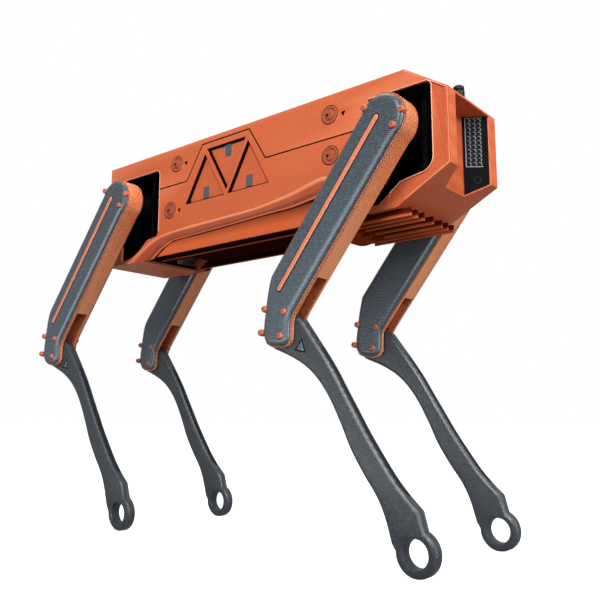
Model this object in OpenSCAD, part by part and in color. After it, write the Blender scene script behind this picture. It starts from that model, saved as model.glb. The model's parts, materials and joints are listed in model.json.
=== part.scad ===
// Four-legged walking robot: a slim box body with two angled sensor
// panels in the nose, and four two-link legs on roll / pitch / knee joints.
// Frame: +X forward, +Y to the robot's left, +Z up, ground at z = 0.
// All dimensions are millimetres.

/* [Node] */
// which node to draw ("all" for the whole machine)

/* [Body] */
// outside width of the side walls
body_w = 100; // [96:1:108]
// height of the flat top deck above the ground
deck_z = 467; // [464:1:474]
// wall thickness of the two body shells
wall = 3; // [2.4:0.2:3.6]
// depth of the sensor recess in the nose
nose_recess = 22.5; // [18:0.5:26]
// radius of the power button on the nose slope
button_r = 5.5; // [5:0.5:7]

/* [Legs] */
// distance between the front and rear hip axes
wheelbase = 398.5; // [392:0.5:406]
// thickness of the orange thigh frame
frame_t = 21.75; // [21:0.25:24]
// thickness of each thigh cover
cover_t = 5.5; // [4:0.5:6]
// thickness of the lower leg
shank_t = 13; // [10:0.5:13.5]
// outside radius of the foot ring
foot_r = 20; // [18:0.5:20]
// radius of the hole through the foot ring
foot_hole_r = 12.25; // [9:0.25:13]
// radius of the screw heads
head_r = 3.75; // [3:0.25:4]

/* [Hidden] */
$fn = 64;
sy = body_w/2;                 // side wall outer plane
nose_x = 294.5;                // front plane of the nose
button_x = 280;
peak_x = 247.5;                // where the nose slope starts
slope_z = 436;                 // top of the nose front face
chin_z = 362;                  // bottom of the nose front face
keel_x = 245.25;               // end of the chin slope
keel_z = 335.2;
base_z = 330;                  // flat underside
tail_x = -220.25;              // rear plane
seam_z = 419.5;                // split between the shells
seam_hi = 460.3;               // raised part of the split
hip_x = 248;  hip_z = 402;     // front hip pitch axis
roll_y = 28;                   // hip roll axis, from the centre plane
leg_in = 64;                   // inner face of a thigh
f0 = leg_in + cover_t;         // thigh frame inner plane
f1 = f0 + frame_t;             // thigh frame outer plane
leg_out = f1 + cover_t;
leg_mid = (f0 + f1)/2;
kx = -128.75; kz = -178.4;     // knee axis from the hip axis
bar_a = 38.46;                 // slope of the thigh bar
bar_l = 187;
cap_r = 25; bar_h = 24;
shank_l = 252.56; shank_a = 36.28;
gap = 0.3;
pin_r = 4; fit = 0.06;
act_r = 11;
orange = [0.80, 0.33, 0.14];
slate  = [0.30, 0.33, 0.37];
black  = [0.03, 0.03, 0.035];
steel  = [0.60, 0.61, 0.63];

// ---------- helpers ----------
// draw a shape given in (x, z) between two y planes
module xz(y0, y1) translate([0, y1, 0]) rotate([90, 0, 0]) linear_extrude(y1 - y0) children();
module ycyl(x, z, y0, y1, r) translate([x, y0, z]) rotate([-90, 0, 0]) cylinder(r = r, h = y1 - y0);
module xcyl(y, z, x0, x1, r) translate([x0, y, z]) rotate([0, 90, 0]) cylinder(r = r, h = x1 - x0);
module both() { children(); mirror([0, 1, 0]) children(); }
// a leg drawn at the front left, put at one of the four corners
module leg(front, left) translate([front ? 0 : -wheelbase, 0, 0]) mirror([0, left ? 0 : 1, 0]) children();

// ---------- body outlines in (x, z) ----------
// whole body profile; g shrinks it
module body_profile(g = 0)
  polygon([[tail_x+g, base_z+g], [236-g*0.4, base_z+g], [keel_x-g*0.5, keel_z+g*0.9], [nose_x-g, chin_z+g*0.6],
           [nose_x-g, slope_z-g*0.6], [peak_x-g*0.4, deck_z-g], [tail_x+g, deck_z-g]]);
// the part above the split
module above_seam(g = 0)
  polygon([[tail_x-1, seam_z+g], [-65, seam_z+g], [-37.5, seam_hi+g], [40, seam_hi+g], [66, seam_z+g],
           [peak_x-27, seam_z+g], [peak_x-27, 449], [peak_x, 449], [peak_x, deck_z+1], [tail_x-1, deck_z+1]]);
// leg openings
module opening_2d() {
  union() {
    polygon([[205, 342], [205, 448], [270, 448], [276, 442], [276, 373], [262, 359], [240, 355], [215, 336], [205, 336]]);
    translate([270, 442]) circle(r = 6);
    translate([262, 373]) circle(r = 14);
  }
  union() {
    polygon([[-191, 333.5], [-191, 445], [-124, 445], [-117.5, 438.5], [-117.5, 364], [-124, 357.5], [-138, 356], [-156, 342.5], [-170, 336]]);
    translate([-124, 438.5]) circle(r = 6.5);
    translate([-124, 364]) circle(r = 6.5);
  }
}
// the arch that opens the lower side wall over the belly tray
// the lower edge of the side wall bevels inward from the lip line to the edge line
lip = [[-173, 329], [-132, 350.5], [-103, 357], [-60, 359.5], [27, 361.5], [58, 363], [102, 368.5], [130, 374.5], [147, 377], [160, 373], [176, 360], [196, 340], [202, 329]];
edge = [[-129.5, 329], [-112, 340], [-90, 348.3], [-39, 349.8], [20, 352], [60, 353.9], [102.5, 355], [130, 358.5], [150, 362], [163, 361], [178, 352], [196, 336], [202, 329]];
module arch_2d(t = 1) polygon([for (i = [0:len(lip)-1]) lip[i] + t*(edge[i]-lip[i])]);
module triangles_2d(g = 0) {
  polygon([[-66.5+g*1.7, 389.2+g], [0.5-g*1.7, 389.2+g], [-33, 447-g*2]]);
  polygon([[-29.5+g*1.7, 452.3-g], [35-g*1.7, 452.3-g], [3.8, 394.5+g*2]]);
  polygon([[6+g*1.7, 389.2+g], [71-g*1.7, 389.2+g], [38.5, 447.5-g*2]]);
}
// small triangle beside each bolt
module marks_2d(list) for (i = list) translate([bolt_xz[i][0]+17.5, bolt_xz[i][1]-3]) polygon([[-2.6, 2], [2.6, 2], [0, -2.4]]);
bolt_xz = [[156.4, 445], [156.6, 400.3], [-84.5, 445.8], [-95.2, 387.3]];

// ---------- nose ----------
// recess in plan: open at the front, narrowing to a flat back wall
module recess_plan() polygon([[nose_x+5, -40.4], [nose_x, -36.6], [nose_x-nose_recess, -19.5], [nose_x-nose_recess, 19.5], [nose_x, 36.6], [nose_x+5, 40.4]]);
module recess() translate([0, 0, 320]) linear_extrude(434-320) recess_plan();

// ---------- torso nodes ----------
module shell_solid() {
  difference() {
    xz(-sy, sy) body_profile(0);
    xz(-sy+wall, sy-wall) body_profile(wall);
    recess();
    xz(-sy-1, sy+1) opening_2d();
  }
  // pad behind the triangular windows
  both() xz(43.6, sy-wall+0.5) polygon([[-74, 384], [79, 384], [79, 396], [47, 456], [-41, 456], [-74, 396]]);
  // walls of the sensor recess
  difference() {
    intersection() {
      xz(-sy+wall-0.5, sy-wall+0.5) body_profile(wall-0.5);
      translate([0, 0, 325]) linear_extrude(434+wall-325)
        polygon([[nose_x, -40.4-wall], [nose_x-nose_recess-wall, -21.5-wall], [nose_x-nose_recess-wall, 21.5+wall], [nose_x, 40.4+wall]]);
    }
    recess();
  }
}
module lower_shell() color(orange) difference() {
  shell_solid();
  xz(-sy-1, sy+1) above_seam(0);
  // arch in the side walls with its bevelled lip, and the open belly under the tray
  xz(-sy-1, sy+1) arch_2d(1);
  both() for (k = [0:2]) xz(sy-0.8*(k+1), sy+1) arch_2d(k/3);
  translate([-150, -sy+wall, base_z-1]) cube([352, body_w-2*wall, 12]);
  // shadow line of the split
  both() xz(sy-0.8, sy+1) seam_line();
  // triangular windows
  both() xz(sy-3.4, sy+1) triangles_2d();
  both() xz(sy-0.6, sy+1) marks_2d([1, 3]);
  // dished field around the front opening
  both() xz(sy-1.4, sy+1) polygon([[277, 447], [284, 442], [290.6, 437], [290.6, 364], [244, 339], [226, 339]]);
  // bolt seats and bores
  both() for (i = [1, 3]) { ycyl(bolt_xz[i][0], bolt_xz[i][1], sy-1.4, sy+1, 10.2); ycyl(bolt_xz[i][0], bolt_xz[i][1], sy-wall-2, sy+1, 2.0); }
  // clear hole for the button stem
  translate([button_x, 0, 438]) cylinder(r = 4.4, h = 20);
  // sensor panel seats
  both() panel_slab();
}
module seam_line()
  polygon([[tail_x-1, seam_z-0.9], [-65.3, seam_z-0.9], [-37.9, seam_hi-0.9], [40.4, seam_hi-0.9], [65.6, seam_z-0.9], [206, seam_z-0.9],
           [206, seam_z+0.1], [66, seam_z+0.1], [40, seam_hi+0.1], [-37.5, seam_hi+0.1], [-65, seam_z+0.1], [tail_x-1, seam_z+0.1]]);
module upper_shell() color(orange) difference() {
  intersection() {
    difference() {
      xz(-sy, sy) body_profile(0);
      xz(-sy+wall, sy-wall) body_profile(wall);
      xz(-sy-1, sy+1) opening_2d();
    }
    xz(-sy-1, sy+1) above_seam(0);
  }
  both() for (i = [0, 2]) { ycyl(bolt_xz[i][0], bolt_xz[i][1], sy-1.4, sy+1, 10.2); ycyl(bolt_xz[i][0], bolt_xz[i][1], sy-wall-2, sy+1, 2.0); }
  both() xz(sy-0.6, sy+1) marks_2d([0, 2]);
}
// the belly: upright side bands, two long slots on each side, ribs under the front and a rounded pod
module belly_tray() color(orange) {
  difference() {
    translate([201.7, 0, 0]) rotate([90, 0, -90]) linear_extrude(347.7)
      polygon([[-46.4, 356], [-46.4, 332], [-43.2, 332], [-43.2, 346], [-34.2, 346], [-34.2, 328.5], [-32.4, 328.5], [-32.4, 343], [-24.6, 343], [-24.6, 333.5],
               [24.6, 333.5], [24.6, 343], [32.4, 343], [32.4, 328.5], [34.2, 328.5], [34.2, 346], [43.2, 346], [43.2, 332], [46.4, 332], [46.4, 356]]);
    // hollow over the battery, and a bigger one in the middle block
    translate([-139, -42.5, 352.5]) cube([332, 85, 10]);
    translate([-125, -20, 337.5]) cube([255, 40, 30]);
    // the rear ends rise with the side wall
    xz(-60, 60) polygon([[-150, 320], [-127.5, 320], [-127.5, 331], [-109, 341.5], [-88, 349.3], [-88, 357], [-150, 357]]);
    both() xz(-1, 33.3) polygon([[-150, 320], [-108, 320], [-96, 331], [-84, 343], [-84, 343.01], [-150, 343]]);
    // room for the ribs
    translate([168, -45, 320]) cube([50, 90, 26]);
  }
  // ribs
  for (y = [-42.5, -30.5, -18, 18, 30.5, 42.5]) {
    translate([0, y-1.1, 0]) xz(0, 2.2) polygon([[150, 321.5], [247.5, 321.5], [247.5, 329.7], [150, 329.7]]);
    translate([150, y-1.1, 329]) cube([51.7, 2.2, 18]);
  }
  translate([0, -1.1, 0]) xz(0, 2.2) polygon([[150, 321.5], [247.5, 321.5], [247.5, 329.7], [150, 329.7]]);
  translate([150, -1.1, 329]) cube([51.7, 2.2, 18]);
  // rounded pod
  intersection() {
    translate([148, 0, 349]) rotate([90, 0, 0]) cylinder(r = 30, h = 52, center = true);
    translate([100, -26, 312]) cube([90, 52, 36]);
  }
}
module chassis_frame() color(black) {
  difference() {
    translate([-200, -36, 356.3]) cube([hip_x+20.6+200, 72, 4]);
    for (x = [-90, 0, 90]) translate([x-10, -28, 350]) cube([20, 56, 20]);
  }
}
// plates that carry the roll bearings, two at each end
module bulkhead(x0, x1) difference() {
  translate([x0, -sy+wall+0.3, 360.3]) cube([x1-x0, body_w-2*wall-0.6, 72]);
  both() xcyl(roll_y, hip_z, x0-1, x1+1, 8.0);
}
module hip_bulkheads() color(black) for (s = [0, -wheelbase]) {
  bulkhead(hip_x-20.6+s, hip_x-15.6+s);
  bulkhead(hip_x+15.6+s, hip_x+20.6+s);
}
module battery_pack() color(black) {
  translate([-75, -30, 360.5]) cube([150, 60, 44]);
}
module main_board() color([0.05, 0.22, 0.12]) {
  translate([-70, -33, 410]) cube([140, 66, 1.6]);
  translate([-30, -14, 411.6]) cube([28, 28, 5]);
  translate([20, -10, 411.6]) cube([30, 20, 8]);
  for (x = [-64, 64]) for (y = [-27, 27]) translate([x, y, 404.5]) cylinder(r = 2.5, h = 5.5);
}
// one actuator per leg, each on the side of its hip that faces the battery
module roll_actuators() color(black)
  for (s = [0, 1]) both() translate([s == 0 ? hip_x : hip_x-wheelbase, 0, 0]) mirror([s, 0, 0]) {
    xcyl(roll_y, hip_z, -61, -20.9, 17);
    xcyl(roll_y, hip_z, -68, -61, 10);
  }
module roll_bearings() color(steel)
  for (s = [0, -wheelbase]) both() for (x = [hip_x-20.5, hip_x+15.7])
    difference() { xcyl(roll_y, hip_z, x+s, x+4.8+s, 7.98); xcyl(roll_y, hip_z, x-1+s, x+7+s, pin_r+fit); }
// sensor panel slabs on the two slanting sides of the nose recess
ang_p = atan2(17.1, nose_recess);
module panel_at() translate([nose_x, 36.6, 0]) rotate([0, 0, ang_p]) children();
module panel_slab() intersection() {
  panel_at() translate([-27.6, -0.8, 330]) cube([25.4, 1.8, 103.7]);
  xz(-sy+1, sy-1) body_profile(1.2);
}
module sensor_panels() color(black) both() panel_slab();
module sensor_grilles() color(steel) both() panel_at() difference() {
  translate([-24.7, -1.6, 380.6]) cube([16.6, 0.8, 51.4]);
  for (i = [0:2]) for (j = [0:10]) translate([-21.7+i*5.3, 5, 383.2+j*4.6]) rotate([90, 0, 0]) cylinder(r = 1.5, h = 10);
}
module camera_rings() color(steel) both() panel_at()
  translate([-14.5, -0.8, 366.5]) rotate([90, 0, 0]) difference() { cylinder(r = 3.8, h = 0.8); translate([0, 0, -1]) cylinder(r = 2.9, h = 4); }
module side_bolts() color(orange) both() for (q = bolt_xz) {
  difference() {
    union() { ycyl(q[0], q[1], sy-1.4, sy-0.3, 9.9); ycyl(q[0], q[1], sy-0.3, sy+0.3, 5.4); ycyl(q[0], q[1], sy-wall-1.8, sy-1.4, 1.9); }
    ycyl(q[0]-2.6, q[1], sy-0.9, sy+1, 1.4);
    difference() { ycyl(q[0], q[1], sy-0.7, sy+1, 8.2); ycyl(q[0], q[1], sy-1, sy+1, 7.4); }
  }
}
// one plain rectangle in each triangular window
module panel_inlays() color(slate) both() xz(sy-3.4, sy-2.7) {
  polygon([[-37.5, 392], [-28.5, 392], [-28.5, 406], [-37.5, 406]]);
  polygon([[-0.7, 437], [8.3, 437], [8.3, 451], [-0.7, 451]]);
  polygon([[34, 392], [43, 392], [43, 406], [34, 406]]);
}
module button_collar() color(black) difference() {
  translate([button_x, 0, 438]) cylinder(r = button_r+0.4, h = 13.5);
  xz(-20, 20) body_profile(0);
  translate([button_x, 0, 430]) cylinder(r = 4.06, h = 40);
}
module power_button() color(black) {
  intersection() {
    translate([button_x, 0, 453.3]) cylinder(r = button_r, h = 6);
    translate([button_x, 0, 451.8]) sphere(r = button_r+1.6);
  }
  translate([button_x, 0, 447]) cylinder(r = 4.0, h = 7);
}

// ---------- leg outlines in (x, z) ----------
bx = -sin(bar_a); bz = -cos(bar_a);      // along the thigh bar
nx = cos(bar_a);  nz = -sin(bar_a);      // across it, to the front
module at_hip() translate([hip_x, hip_z]) children();
module at_knee() translate([hip_x+kx, hip_z+kz]) children();
module knee_2d(g = 0) at_knee()
  polygon([[-6.35+g, 46.9], [-11+g, 27], [-15.5+g, -3], [-15+g, -14+g*0.4], [-11.5+g*0.8, -20.5+g*0.8], [-4, -24+g],
           [8, -25.2+g], [16-g*0.7, -23.5+g*0.8], [20-g, -18.5+g*0.5], [20.75-g, 3], [31.25-g, 17.1+g*0.4]]);
module thigh_2d(g = 0) {
  at_hip() {
    circle(r = cap_r-g);
    polygon([[(bar_h-g)*nx, (bar_h-g)*nz], [-(bar_h-g)*nx, -(bar_h-g)*nz],
             [bar_l*bx-(bar_h-g)*nx, bar_l*bz-(bar_h-g)*nz], [bar_l*bx+(bar_h-g)*nx, bar_l*bz+(bar_h-g)*nz]]);
  }
  knee_2d(g);
}
// the region of the fork around the knee
module fork_2d() at_knee() polygon([[-40, 14], [-12, 14], [10, 46], [44, 46], [62, 30], [62, -40], [-40, -40]]);

// screw positions from the hip axis and from the knee axis
up_s = [[-16.5, 13.5], [14, -10.8]];
rim_s = [[22.2, 2.4]];
ka = 10.9;
lo_s = [for (a = [-12.9, 12.9]) for (b = [-11.85, 11.85]) [a*cos(ka)+b*sin(ka), -a*sin(ka)+b*cos(ka)]];

// ---------- leg nodes (drawn at the front left) ----------
module hip_carrier(front, left) color(black) leg(front, left) {
  difference() {
    union() {
      xcyl(roll_y, hip_z, hip_x-15, hip_x+15, 17.5);
      ycyl(hip_x, hip_z, roll_y, 60, 15);
    }
    ycyl(hip_x, hip_z, roll_y+8, 61, 12.5);
  }
  xcyl(roll_y, hip_z, hip_x-20.6, hip_x-15, pin_r);
  xcyl(roll_y, hip_z, hip_x+15, hip_x+20.6, pin_r);
}
module hip_actuator(front, left) color(steel) leg(front, left) difference() {
  ycyl(hip_x, hip_z, roll_y+8.1, 59, 12.4);
  ycyl(hip_x, hip_z, 40, 61, pin_r+fit);
}
module hip_axle(front, left) color(steel) leg(front, left) ycyl(hip_x, hip_z, 40.5, f1, pin_r);
module thigh_frame(front, left) color(orange) leg(front, left) difference() {
  union() {
    // inner web and fork cheek
    xz(f0, f0+3) thigh_2d(0);
    // outer fork cheek
    xz(f1-3, f1) intersection() { thigh_2d(0); fork_2d(); }
    // rim wall
    difference() {
      xz(f0, f1) thigh_2d(0);
      xz(f0-1, f1+1) thigh_2d(3);
      xz(f0+3, f1-3) fork_2d();
    }
    // hub of the hip axle
    ycyl(hip_x, hip_z, f0, f1, 9);
    // screw posts
    at3(up_s, hip_x, hip_z) ycyl(0, 0, f0, f1, 3.2);
  }
  ycyl(hip_x, hip_z, f0-1, f1+1, pin_r+0.02);
  ycyl(hip_x+kx, hip_z+kz, f0-1, f1+1, pin_r+0.02);
  at3(up_s, hip_x, hip_z) ycyl(0, 0, f1-8, f1+1, 1.72);
  at3(lo_s, hip_x+kx, hip_z+kz) ycyl(0, 0, f1-4, f1+1, 1.72);
  at3(lo_s, hip_x+kx, hip_z+kz) ycyl(0, 0, f0-1, f0+4, 1.72);
}
module at3(list, x, z) for (q = list) translate([x+q[0], 0, z+q[1]]) children();
module outer_cover(front, left) color(slate) leg(front, left) difference() {
  union() {
    xz(f1, f1+cover_t-2.6) thigh_2d(0.2);
    xz(f1+cover_t-2.6, f1+cover_t-1.0) thigh_2d(1.0);
    xz(f1+cover_t-1.0, f1+cover_t) thigh_2d(2.6);
  }
  at3(up_s, hip_x, hip_z) ycyl(0, 0, f1-1, leg_out+1, 1.72);
  at3(rim_s, hip_x, hip_z) ycyl(0, 0, f1-1, leg_out+1, 1.72);
  at3(rim_s, hip_x, hip_z) ycyl(0, 0, f1+2, leg_out+1, head_r+0.02);
  at3(lo_s, hip_x+kx, hip_z+kz) ycyl(0, 0, f1-1, leg_out+1, 1.72);
}
module inner_cover(front, left) color(slate) leg(front, left) difference() {
  union() {
    xz(f0-cover_t+2.6, f0) thigh_2d(0.2);
    xz(f0-cover_t+1.0, f0-cover_t+2.6) thigh_2d(1.0);
    xz(f0-cover_t, f0-cover_t+1.0) thigh_2d(2.6);
    ycyl(hip_x, hip_z, 60.4, leg_in+1, 14);
  }
  ycyl(hip_x, hip_z, 59, f0+1, pin_r+0.02);
  at3(lo_s, hip_x+kx, hip_z+kz) ycyl(0, 0, leg_in-1, f0+1, 1.72);
}
module thigh_stripe(front, left) color(orange) leg(front, left) {
  translate([hip_x-3.35, leg_out, hip_z+1]) rotate([0, bar_a-90, 0]) {
    translate([-187.5, 0, -2.1]) cube([187.5, 1.2, 4.2]);
    translate([0, 0, 0]) rotate([-90, 0, 0]) cylinder(r = 2.1, h = 1.2);
    translate([-187.5, 0, 0]) rotate([-90, 0, 0]) cylinder(r = 2.1, h = 1.2);
  }
}
// screw with a stem of length l below its seat
module screw(l, h = 2.4) { rotate([-90, 0, 0]) cylinder(r = head_r, h = h); translate([0, -l, 0]) rotate([-90, 0, 0]) cylinder(r = 1.7, h = l); }
module thigh_screws(front, left) color(orange) leg(front, left) {
  at3(up_s, hip_x, hip_z) translate([0, leg_out, 0]) screw(cover_t+6);
  at3(rim_s, hip_x, hip_z) translate([0, f1+2, 0]) screw(2, 5);
  at3(lo_s, hip_x+kx, hip_z+kz) translate([0, leg_out, 0]) screw(cover_t+2.8);
  at3(lo_s, hip_x+kx, hip_z+kz) translate([0, leg_in, 0]) mirror([0, 1, 0]) screw(cover_t+2.8);
}
module knee_actuator(front, left) color(steel) leg(front, left) difference() {
  ycyl(hip_x+kx, hip_z+kz, f0+3, f1-3, act_r);
  ycyl(hip_x+kx, hip_z+kz, f0, f1, pin_r+0.02);
}
module knee_pin(front, left) color(steel) leg(front, left) ycyl(hip_x+kx, hip_z+kz, f0, f1, pin_r);

// lower leg: stations along the axis from the knee to the foot,
// as [fraction of length, rear offset, front offset]
st = [[0.06, -21, 24], [0.15, -7.2, 24.4], [0.23, 1.5, 24.7], [0.31, 5, 24.4], [0.39, 4.7, 22.7],
      [0.48, 1.6, 21], [0.58, -3.2, 19.2], [0.68, -4.8, 18.6], [0.77, -4.9, 18.8], [0.84, -8, 20.8],
      [0.92, -15, 24.4], [0.945, -17.5, 24]];
module shank_2d(g = 0) at_knee() rotate(shank_a - 90) {
  circle(r = 16-g);
  polygon(concat([[0, 15.5-g]], [for (s = st) [s[0]*shank_l, s[2]-g]], [[0.975*shank_l, foot_r-1-g], [0.99*shank_l, 0], [0.955*shank_l, -17+g]],
                 [for (i = [len(st)-2:-1:0]) [st[i][0]*shank_l, st[i][1]+g]], [[6, -21+g], [0, -15.8+g]]));
  translate([shank_l, 0]) circle(r = foot_r-g);
}
module groove_2d() at_knee() rotate(shank_a - 90)
  polygon(concat([for (s = st) if (s[0] > 0.2 && s[0] < 0.8) [s[0]*shank_l, s[2]+1]],
                 [for (i = [len(st)-1:-1:0]) if (st[i][0] > 0.2 && st[i][0] < 0.8) [st[i][0]*shank_l, st[i][2]-5]]));
module shank(front, left) color([0.26, 0.28, 0.31]) leg(front, left) {
  s0 = leg_mid - shank_t/2; s1 = leg_mid + shank_t/2;
  difference() {
    union() {
      xz(s0, s0+1.6) shank_2d(1.2);
      xz(s0+1.6, s1-1.6) shank_2d(0);
      xz(s1-1.6, s1) shank_2d(1.2);
    }
    ycyl(hip_x+kx, hip_z+kz, s0-1, s1+1, act_r+fit);
    ycyl(hip_x+kx+shank_l*sin(shank_a), hip_z+kz-shank_l*cos(shank_a), s0-1, s1+1, foot_hole_r);
    // open channel in the front edge
    xz(leg_mid-3, leg_mid+3) groove_2d();
  }
}

// ---------- what is drawn ----------
lower_shell();
upper_shell();
belly_tray();
chassis_frame();
battery_pack();
main_board();
hip_bulkheads();
roll_actuators();
roll_bearings();
sensor_panels();
sensor_grilles();
camera_rings();
side_bolts();
panel_inlays();
power_button();
button_collar();
hip_carrier(true, true);  // hip_carrier_fl
hip_actuator(true, true);  // hip_actuator_fl
hip_axle(true, true);  // hip_axle_fl
thigh_frame(true, true);  // thigh_frame_fl
outer_cover(true, true);  // outer_cover_fl
inner_cover(true, true);  // inner_cover_fl
thigh_stripe(true, true);  // thigh_stripe_fl
thigh_screws(true, true);  // thigh_screws_fl
knee_actuator(true, true);  // knee_actuator_fl
knee_pin(true, true);  // knee_pin_fl
shank(true, true);  // shank_fl
hip_carrier(true, false);  // hip_carrier_fr
hip_actuator(true, false);  // hip_actuator_fr
hip_axle(true, false);  // hip_axle_fr
thigh_frame(true, false);  // thigh_frame_fr
outer_cover(true, false);  // outer_cover_fr
inner_cover(true, false);  // inner_cover_fr
thigh_stripe(true, false);  // thigh_stripe_fr
thigh_screws(true, false);  // thigh_screws_fr
knee_actuator(true, false);  // knee_actuator_fr
knee_pin(true, false);  // knee_pin_fr
shank(true, false);  // shank_fr
hip_carrier(false, true);  // hip_carrier_rl
hip_actuator(false, true);  // hip_actuator_rl
hip_axle(false, true);  // hip_axle_rl
thigh_frame(false, true);  // thigh_frame_rl
outer_cover(false, true);  // outer_cover_rl
inner_cover(false, true);  // inner_cover_rl
thigh_stripe(false, true);  // thigh_stripe_rl
thigh_screws(false, true);  // thigh_screws_rl
knee_actuator(false, true);  // knee_actuator_rl
knee_pin(false, true);  // knee_pin_rl
shank(false, true);  // shank_rl
hip_carrier(false, false);  // hip_carrier_rr
hip_actuator(false, false);  // hip_actuator_rr
hip_axle(false, false);  // hip_axle_rr
thigh_frame(false, false);  // thigh_frame_rr
outer_cover(false, false);  // outer_cover_rr
inner_cover(false, false);  // inner_cover_rr
thigh_stripe(false, false);  // thigh_stripe_rr
thigh_screws(false, false);  // thigh_screws_rr
knee_actuator(false, false);  // knee_actuator_rr
knee_pin(false, false);  // knee_pin_rr
shank(false, false);  // shank_rr
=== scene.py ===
import bpy, bmesh, math, json, random
from mathutils import Vector, Matrix


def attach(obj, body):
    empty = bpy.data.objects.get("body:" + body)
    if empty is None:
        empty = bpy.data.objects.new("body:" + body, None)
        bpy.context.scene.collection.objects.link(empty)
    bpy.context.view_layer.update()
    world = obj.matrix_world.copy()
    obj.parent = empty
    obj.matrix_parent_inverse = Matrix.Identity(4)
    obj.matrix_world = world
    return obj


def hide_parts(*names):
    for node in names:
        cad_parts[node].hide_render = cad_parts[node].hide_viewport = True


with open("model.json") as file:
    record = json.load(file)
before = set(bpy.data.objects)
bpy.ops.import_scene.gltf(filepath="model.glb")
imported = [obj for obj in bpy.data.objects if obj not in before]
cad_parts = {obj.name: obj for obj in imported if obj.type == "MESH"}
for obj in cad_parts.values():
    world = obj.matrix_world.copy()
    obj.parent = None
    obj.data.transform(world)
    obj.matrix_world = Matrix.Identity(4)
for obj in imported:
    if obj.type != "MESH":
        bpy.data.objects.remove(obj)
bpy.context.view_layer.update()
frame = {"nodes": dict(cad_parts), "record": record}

MM = 0.001
N = frame["nodes"]

# ------------------------------------------------------------------ camera
yaw, pit, rol = math.radians(39.41), math.radians(9.05), math.radians(0.03)
d = Vector((-math.sin(yaw)*math.cos(pit), math.cos(yaw)*math.cos(pit), math.sin(pit)))
r = Vector((math.cos(yaw), math.sin(yaw), 0.0))
u = r.cross(d)
r2 = math.cos(rol)*r + math.sin(rol)*u
u2 = -math.sin(rol)*r + math.cos(rol)*u
cam_data = bpy.data.cameras.new("camera")
cam = bpy.data.objects.new("camera", cam_data)
bpy.context.scene.collection.objects.link(cam)
m = Matrix(((r2.x, u2.x, -d.x), (r2.y, u2.y, -d.y), (r2.z, u2.z, -d.z))).to_4x4()
m.translation = Vector((588.92*MM, -625.15*MM, 133.45*MM))
cam.matrix_world = m
cam_data.sensor_width = 36.0
cam_data.lens = 722.33/600.0*36.0
cam_data.clip_start = 0.01
cam_data.clip_end = 60.0
bpy.context.scene.camera = cam

# ------------------------------------------------------------------ materials
class G:
    """A small helper that builds a shader graph."""
    def __init__(self, name):
        self.m = bpy.data.materials.new(name)
        self.m.use_nodes = True
        self.t = self.m.node_tree
        self.t.nodes.clear()
        self.out = self.t.nodes.new("ShaderNodeOutputMaterial")
        self.b = self.t.nodes.new("ShaderNodeBsdfPrincipled")
        self.t.links.new(self.b.outputs[0], self.out.inputs[0])
        tc = self.t.nodes.new("ShaderNodeTexCoord")
        self.obj = tc.outputs["Object"]
    def n(self, kind, **inp):
        nd = self.t.nodes.new("ShaderNode" + kind)
        for k, v in inp.items():
            if k.startswith("_"):
                setattr(nd, k[1:], v)
            else:
                key = k
                if k.isdigit():
                    key = int(k)
                self.put(nd.inputs[key], v)
        return nd
    def put(self, sock, v):
        if isinstance(v, bpy.types.NodeSocket):
            self.t.links.new(v, sock)
        else:
            sock.default_value = v
    def math(self, op, a, b=0.0, c=0.0, clamp=False):
        nd = self.t.nodes.new("ShaderNodeMath")
        nd.operation = op
        nd.use_clamp = clamp
        self.put(nd.inputs[0], a); self.put(nd.inputs[1], b); self.put(nd.inputs[2], c)
        return nd.outputs[0]
    def mapping(self, v, scale=(1, 1, 1), rot=(0, 0, 0), loc=(0, 0, 0)):
        nd = self.t.nodes.new("ShaderNodeMapping")
        self.put(nd.inputs["Vector"], v)
        nd.inputs["Scale"].default_value = scale
        nd.inputs["Rotation"].default_value = rot
        nd.inputs["Location"].default_value = loc
        return nd.outputs[0]
    def noise(self, v, scale, detail=3.0, rough=0.5, dist=0.0):
        nd = self.t.nodes.new("ShaderNodeTexNoise")
        self.put(nd.inputs["Vector"], v)
        nd.inputs["Scale"].default_value = scale
        nd.inputs["Detail"].default_value = detail
        nd.inputs["Roughness"].default_value = rough
        nd.inputs["Distortion"].default_value = dist
        return nd.outputs["Fac"]
    def range(self, v, a, b, c, e, smooth=False):
        nd = self.t.nodes.new("ShaderNodeMapRange")
        if smooth:
            nd.interpolation_type = "SMOOTHSTEP"
        self.put(nd.inputs["Value"], v)
        nd.inputs["From Min"].default_value = a
        nd.inputs["From Max"].default_value = b
        nd.inputs["To Min"].default_value = c
        nd.inputs["To Max"].default_value = e
        return nd.outputs["Result"]
    def mix(self, f, a, b, mode="MIX"):
        nd = self.t.nodes.new("ShaderNodeMix")
        nd.data_type = "RGBA"
        nd.blend_type = mode
        self.put(nd.inputs[0], f)
        self.put(nd.inputs[6], a if isinstance(a, bpy.types.NodeSocket) else (*a, 1.0))
        self.put(nd.inputs[7], b if isinstance(b, bpy.types.NodeSocket) else (*b, 1.0))
        return nd.outputs[2]
    def sep(self, v):
        nd = self.t.nodes.new("ShaderNodeSeparateXYZ")
        self.put(nd.inputs[0], v)
        return nd.outputs[0], nd.outputs[1], nd.outputs[2]
    def bump(self, h, strength, dist, normal=None):
        nd = self.t.nodes.new("ShaderNodeBump")
        nd.inputs["Strength"].default_value = strength
        nd.inputs["Distance"].default_value = dist
        self.put(nd.inputs["Height"], h)
        if normal is not None:
            self.put(nd.inputs["Normal"], normal)
        return nd.outputs[0]
    def edge(self, lo, hi):
        """0 on flats, 1 on sharp outer edges, where a painted highlight is mixed in."""
        nd = self.t.nodes.new("ShaderNodeNewGeometry")
        return self.range(nd.outputs["Pointiness"], lo, hi, 0.0, 1.0)

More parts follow.
